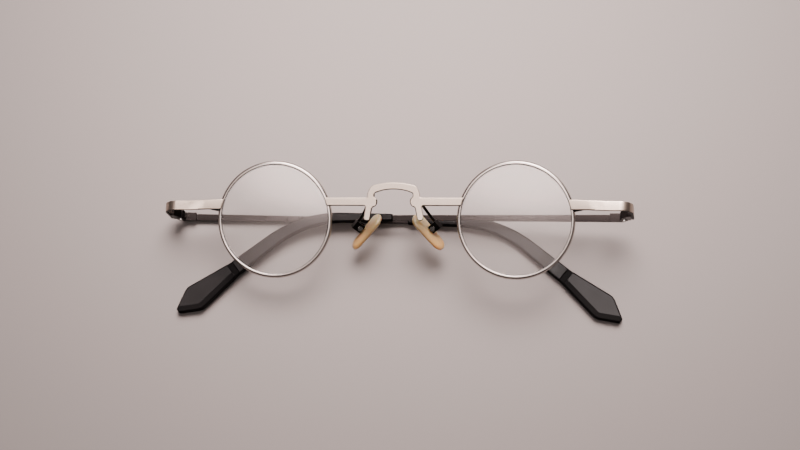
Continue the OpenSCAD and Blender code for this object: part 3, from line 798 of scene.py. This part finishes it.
class EYEGLASSES_OT_locks(Operator):
    """Round the edges of the rim locks and their screws"""

    bl_idname = "eyeglasses.locks"
    bl_label = "Rim locks"

    def execute(self, context):
        sizes = context.scene.eyeglass_sizes
        # The lock blocks are painted all over with the dark metal that stands for shade
        ease_group(context, ["lock_upper", "lock_lower"], sizes.small_ease, "block", finish="satin_painted_shade")
        ease_group(context, ["lock_screw"], sizes.small_ease, "metal")
        return {"FINISHED"}


class EYEGLASSES_OT_hinges(Operator):
    """Round the edges of the hinge halves and their screws"""

    bl_idname = "eyeglasses.hinges"
    bl_label = "Hinges"

    def execute(self, context):
        sizes = context.scene.eyeglass_sizes
        ease_group(context, ["front_hinge", "temple_hinge", "hinge_screw"], sizes.small_ease, "metal")
        return {"FINISHED"}


class EYEGLASSES_OT_temples(Operator):
    """Round the edges of the temple strips"""

    bl_idname = "eyeglasses.temples"
    bl_label = "Temple strips"

    def execute(self, context):
        ease_group(context, ["temple"], context.scene.eyeglass_sizes.strip_ease, "strip")
        return {"FINISHED"}


class EYEGLASSES_OT_tips(Operator):
    """Round the bevelled edges of the temple tips and darken the sides that lie in shade"""

    bl_idname = "eyeglasses.tips"
    bl_label = "Temple tips"

    def mark_band(self, sleeve, paddle, width):
        """Cuts a band along the lower edges of the paddle's top, where shade is painted, and gives a test for its
        faces.
        """
        rise, heart = paddle.normal.copy(), paddle.center.copy()
        corners = [sleeve.data.vertices[i].co.copy() for i in paddle.vertices]
        long_edge, level_gap, paddle_reach = 2 * width, width / 20, 9 * width
        cuts = []
        for start, end in zip(corners, corners[1:] + corners[:1]):
            out = (end - start).cross(rise).normalized()
            if (end - start).length > long_edge and out.y < 0:
                cuts.append((start - width * out, out))

        def on_top(face):
            reach = face.center - heart
            return face.normal.z > TOP_TURN and abs(reach.dot(rise)) < level_gap and reach.length < paddle_reach

        edit(sleeve, "FACE")
        for spot, out in cuts:
            select_faces(sleeve, on_top)
            bpy.ops.mesh.bisect(plane_co=spot, plane_no=out)
        done()
        bpy.ops.mesh.customdata_custom_splitnormals_clear()
        smooth(sleeve)
        settle_normals(sleeve)
        return lambda face: on_top(face) and any((face.center - spot).dot(out) > 0 for spot, out in cuts)

    def execute(self, context):
        sizes = context.scene.eyeglass_sizes
        sunk = 0.1 * MM
        for side in SIDES:
            node = f"{side}_temple_tip"
            sleeve = eased_copy(node, f"{node}_sleeve", sizes.tip_ease)
            dress(sleeve, node, finish_of("tip_plastic", context))
            tops = [face for face in sleeve.data.polygons if face.normal.z > TOP_TURN]
            paddle = max(tops, key=lambda face: face.area * abs(face.center.x))
            level, rise = paddle.center.copy(), paddle.normal.copy()
            in_band = self.mark_band(sleeve, paddle, sizes.tip_band)
            # Painted shade in dark matt plastic on the sides, the sunk groove and the flat band along the lower
            # edges
            paint_shade(
                sleeve, finish_of("tip_painted_shade", context),
                lambda face: (face.center - level).dot(rise) < -sunk or face.normal.z < TOP_TURN or in_band(face))
        return {"FINISHED"}


class EYEGLASSES_OT_pad_arms(Operator):
    """Smooth the wires that carry the nose pads, and round their boxes and screws"""

    bl_idname = "eyeglasses.pad_arms"
    bl_label = "Pad arms"

    def execute(self, context):
        for side in SIDES:
            node = f"{side}_pad_arm"
            arm = merged_copy(node, f"{node}_wire")
            edit(arm, "EDGE")
            bpy.ops.mesh.select_all(action="DESELECT")
            bpy.ops.mesh.edges_select_sharp(sharpness=CREASE_ANGLE)
            bpy.ops.transform.edge_crease(value=1)
            done()
            subdivide_smoothly(arm, levels=2)
            smooth(arm)
            dress(arm, node, finish_of(SLOTS[node], context))
        sizes = context.scene.eyeglass_sizes
        # The pad boxes get the dark metal that paints shade, darker than their own dark finish
        ease_group(context, ["pad_box"], sizes.box_ease, "metal", finish="satin_painted_shade")
        ease_group(context, ["pad_screw"], sizes.dome_ease, "metal", segments=4, finish="polished_steel")
        return {"FINISHED"}


class EYEGLASSES_OT_nose_pads(Operator):
    """Model the moulded nose pads, crowned on both faces, with a drilled stem on the back"""

    bl_idname = "eyeglasses.nose_pads"
    bl_label = "Nose pads"

    def pad_body(self, sizes):
        """A rounded pad in the XY plane with its upper end towards +Y and its crowned face towards +Z."""
        clear_selection()
        bpy.ops.mesh.primitive_circle_add(vertices=20, radius=sizes.pad_width / 2, fill_type="NGON")
        pad = bpy.context.object
        rename(pad, "pad_body")
        edit(pad)
        select_vertices(pad, lambda co: co.y > WELD)
        widening = sizes.pad_top_width / sizes.pad_width
        bpy.ops.transform.resize(value=(widening, widening, 1), center_override=(0, 0, 0))
        bpy.ops.transform.translate(value=(0, (sizes.pad_length - sizes.pad_top_width) / 2, 0))
        select_vertices(pad, lambda co: co.y <= WELD)
        bpy.ops.transform.translate(value=(0, (sizes.pad_width - sizes.pad_length) / 2, 0))
        bpy.ops.mesh.select_all(action="SELECT")
        wall = PAD_WALL * sizes.pad_thickness
        bpy.ops.transform.translate(value=(0, 0, -wall / 2))
        bpy.ops.mesh.extrude_region_move(TRANSFORM_OT_translate={"value": (0, 0, wall)})
        outward()
        for facing in (1, -1):
            select_faces(pad, lambda face: face.normal.z * facing > FLAT_TURN)
            for inset, rise in PAD_CROWN:
                bpy.ops.mesh.inset(thickness=inset * sizes.pad_width, depth=rise * sizes.pad_thickness)
        done()
        subdivide_smoothly(pad, levels=2)
        return pad

    def stem(self, sizes, pivot):
        """A flat stem with a round end, down from the pad's middle to its screw."""
        half = sizes.stem_width / 2
        arc_steps = 12
        turns = [math.pi * i / arc_steps for i in range(arc_steps + 1)]
        round_end = [(half * math.cos(turn), -pivot - half * math.sin(turn)) for turn in turns]
        outline = [(half, 0), *round_end, (-half, 0), (half, 0)]
        stem = draw_outline("pad_stem", [Vector((-sizes.stem_thickness / 2, y, z)) for y, z in outline])
        close_outline()
        bpy.ops.mesh.edge_face_add()
        bpy.ops.mesh.extrude_region_move(TRANSFORM_OT_translate={"value": (sizes.stem_thickness, 0, 0)})
        outward()
        done()
        return stem

    def execute(self, context):
        sizes = context.scene.eyeglass_sizes
        pivot = sizes.pad_thickness / 2 + sizes.stem_reach
        pad = self.pad_body(sizes)
        combine(pad, self.stem(sizes, pivot), "UNION")
        clear_selection()
        bpy.ops.mesh.primitive_cylinder_add(
            vertices=24, radius=sizes.stem_bore, depth=2 * sizes.stem_thickness,
            location=(0, 0, -pivot), rotation=(0, math.pi / 2, 0))
        combine(pad, bpy.context.object, "DIFFERENCE")
        for side in SIDES:
            piece = place(pad, f"{side}_nose_pad_moulded", pad_frame(side, sizes))
            dress(piece, f"{side}_nose_pad", finish_of("pad_plastic", context))
        bpy.data.objects.remove(pad)
        return {"FINISHED"}


class EYEGLASSES_OT_stage(Operator):
    """Set the table, the soft light and the camera"""

    bl_idname = "eyeglasses.stage"
    bl_label = "Stage"

    def lay_table(self, stage):
        clear_selection()
        bpy.ops.mesh.primitive_plane_add(size=stage.table_size, location=(0, 0, CAD_BOX[0].z))
        table = bpy.context.object
        rename(table, "table_top")
        table.data.materials.append(table_finish(stage))

    def light_sky(self, context, stage):
        """Even light all round, with soft bright patches behind the brow and in front of the chin."""
        world = bpy.data.worlds.new("soft_sky")
        context.scene.world = world
        world.use_nodes = True
        tree = world.node_tree
        background = tree.nodes["Background"]
        direction = tree.nodes.new("ShaderNodeTexCoord").outputs["Generated"]
        total = None
        for name, hardness in (("window", 2), ("haze", 1)):
            centre, spread = getattr(stage, f"{name}_way"), getattr(stage, f"{name}_spread")
            patch = soft_patch(tree, direction, centre, spread, hardness)
            step = tree.nodes.new("ShaderNodeMath")
            step.operation = "MULTIPLY_ADD"
            tree.links.new(patch, step.inputs[0])
            step.inputs[1].default_value = getattr(stage, name)
            if total:
                tree.links.new(total, step.inputs[2])
            else:
                step.inputs[2].default_value = stage.sky
            total = step.outputs["Value"]
        tree.links.new(total, background.inputs["Strength"])
        background.inputs["Color"].default_value = (*stage.light, 1)

    def hang_softbox(self, stage):
        """A wide clear lamp overhead that shows only as a gleam on glass, metal and plastic."""
        clear_selection()
        bpy.ops.mesh.primitive_plane_add(size=stage.glow_size, location=stage.glow_far * Vector(stage.glow_way))
        box = bpy.context.object
        rename(box, "soft_box")
        lamp = bpy.data.materials.new("soft_box")
        lamp.use_nodes = True
        tree = lamp.node_tree
        tree.nodes.clear()
        spot = tree.nodes.new("ShaderNodeTexCoord").outputs["Object"]
        patch = soft_patch(tree, spot, (0, 0, 0), stage.glow_far * Vector(stage.glow_spread), hardness=2)
        emission = tree.nodes.new("ShaderNodeEmission")
        emission.inputs["Color"].default_value = (*stage.light, 1)
        tree.links.new(reckon(tree, "MULTIPLY", patch, stage.glow), emission.inputs["Strength"])
        clear = tree.nodes.new("ShaderNodeBsdfTransparent")
        both = tree.nodes.new("ShaderNodeAddShader")
        tree.links.new(emission.outputs["Emission"], both.inputs[0])
        tree.links.new(clear.outputs["BSDF"], both.inputs[1])
        output = tree.nodes.new("ShaderNodeOutputMaterial")
        tree.links.new(both.outputs["Shader"], output.inputs["Surface"])
        box.data.materials.append(lamp)
        box.visible_camera = False
        box.visible_diffuse = False
        box.visible_shadow = False

    def set_camera(self, context, stage):
        turn = (
            Matrix.Rotation(stage.camera_yaw, 3, "Y")
            @ Matrix.Rotation(stage.camera_tilt, 3, "X")
            @ Matrix.Rotation(stage.camera_roll, 3, "Z")
        )
        stand = Vector(stage.camera_aim) + turn @ Vector((0, 0, stage.camera_distance))
        bpy.ops.object.camera_add(location=stand, rotation=turn.to_euler())
        camera = bpy.context.object
        camera.name = "photo_camera"
        camera.data.sensor_fit = "HORIZONTAL"
        camera.data.sensor_width = SENSOR_WIDTH
        camera.data.lens = stage.camera_lens
        camera.data.clip_start = CLIP_START
        context.scene.camera = camera

    def execute(self, context):
        stage = context.scene.eyeglass_stage
        self.set_camera(context, stage)
        self.lay_table(stage)
        self.light_sky(context, stage)
        self.hang_softbox(stage)
        return {"FINISHED"}


OPERATORS = (
    EYEGLASSES_OT_stage,
    EYEGLASSES_OT_rims,
    EYEGLASSES_OT_lenses,
    EYEGLASSES_OT_front_plates,
    EYEGLASSES_OT_locks,
    EYEGLASSES_OT_hinges,
    EYEGLASSES_OT_temples,
    EYEGLASSES_OT_tips,
    EYEGLASSES_OT_pad_arms,
    EYEGLASSES_OT_nose_pads,
)


class EYEGLASSES_PT_panel(Panel):
    """Lists the pieces and their sizes, finishes and stage"""

    bl_idname = "EYEGLASSES_PT_panel"
    bl_label = "Round Wire Eyeglasses"
    bl_space_type = "VIEW_3D"
    bl_region_type = "UI"
    bl_category = "Eyeglasses"

    def draw(self, context):
        column = self.layout.column()
        for operator in OPERATORS:
            column.operator(operator.bl_idname)
        for group in (context.scene.eyeglass_sizes, context.scene.eyeglass_finishes, context.scene.eyeglass_stage):
            box = self.layout.box()
            for name in group.__annotations__:
                box.prop(group, name)


GROUPS = {
    "eyeglass_sizes": EyeglassSizes,
    "eyeglass_finishes": EyeglassFinishes,
    "eyeglass_stage": EyeglassStage,
}
CLASSES = (*GROUPS.values(), *OPERATORS, EYEGLASSES_PT_panel)


def register():
    for kind in CLASSES:
        bpy.utils.register_class(kind)
    for name, kind in GROUPS.items():
        setattr(bpy.types.Scene, name, PointerProperty(type=kind))


def unregister():
    for name in GROUPS:
        delattr(bpy.types.Scene, name)
    for kind in reversed(CLASSES):
        bpy.utils.unregister_class(kind)


def main():
    register()
    for operator in OPERATORS:
        group, name = operator.bl_idname.split(".")
        getattr(getattr(bpy.ops, group), name)()


if __name__ == "__main__":
    main()
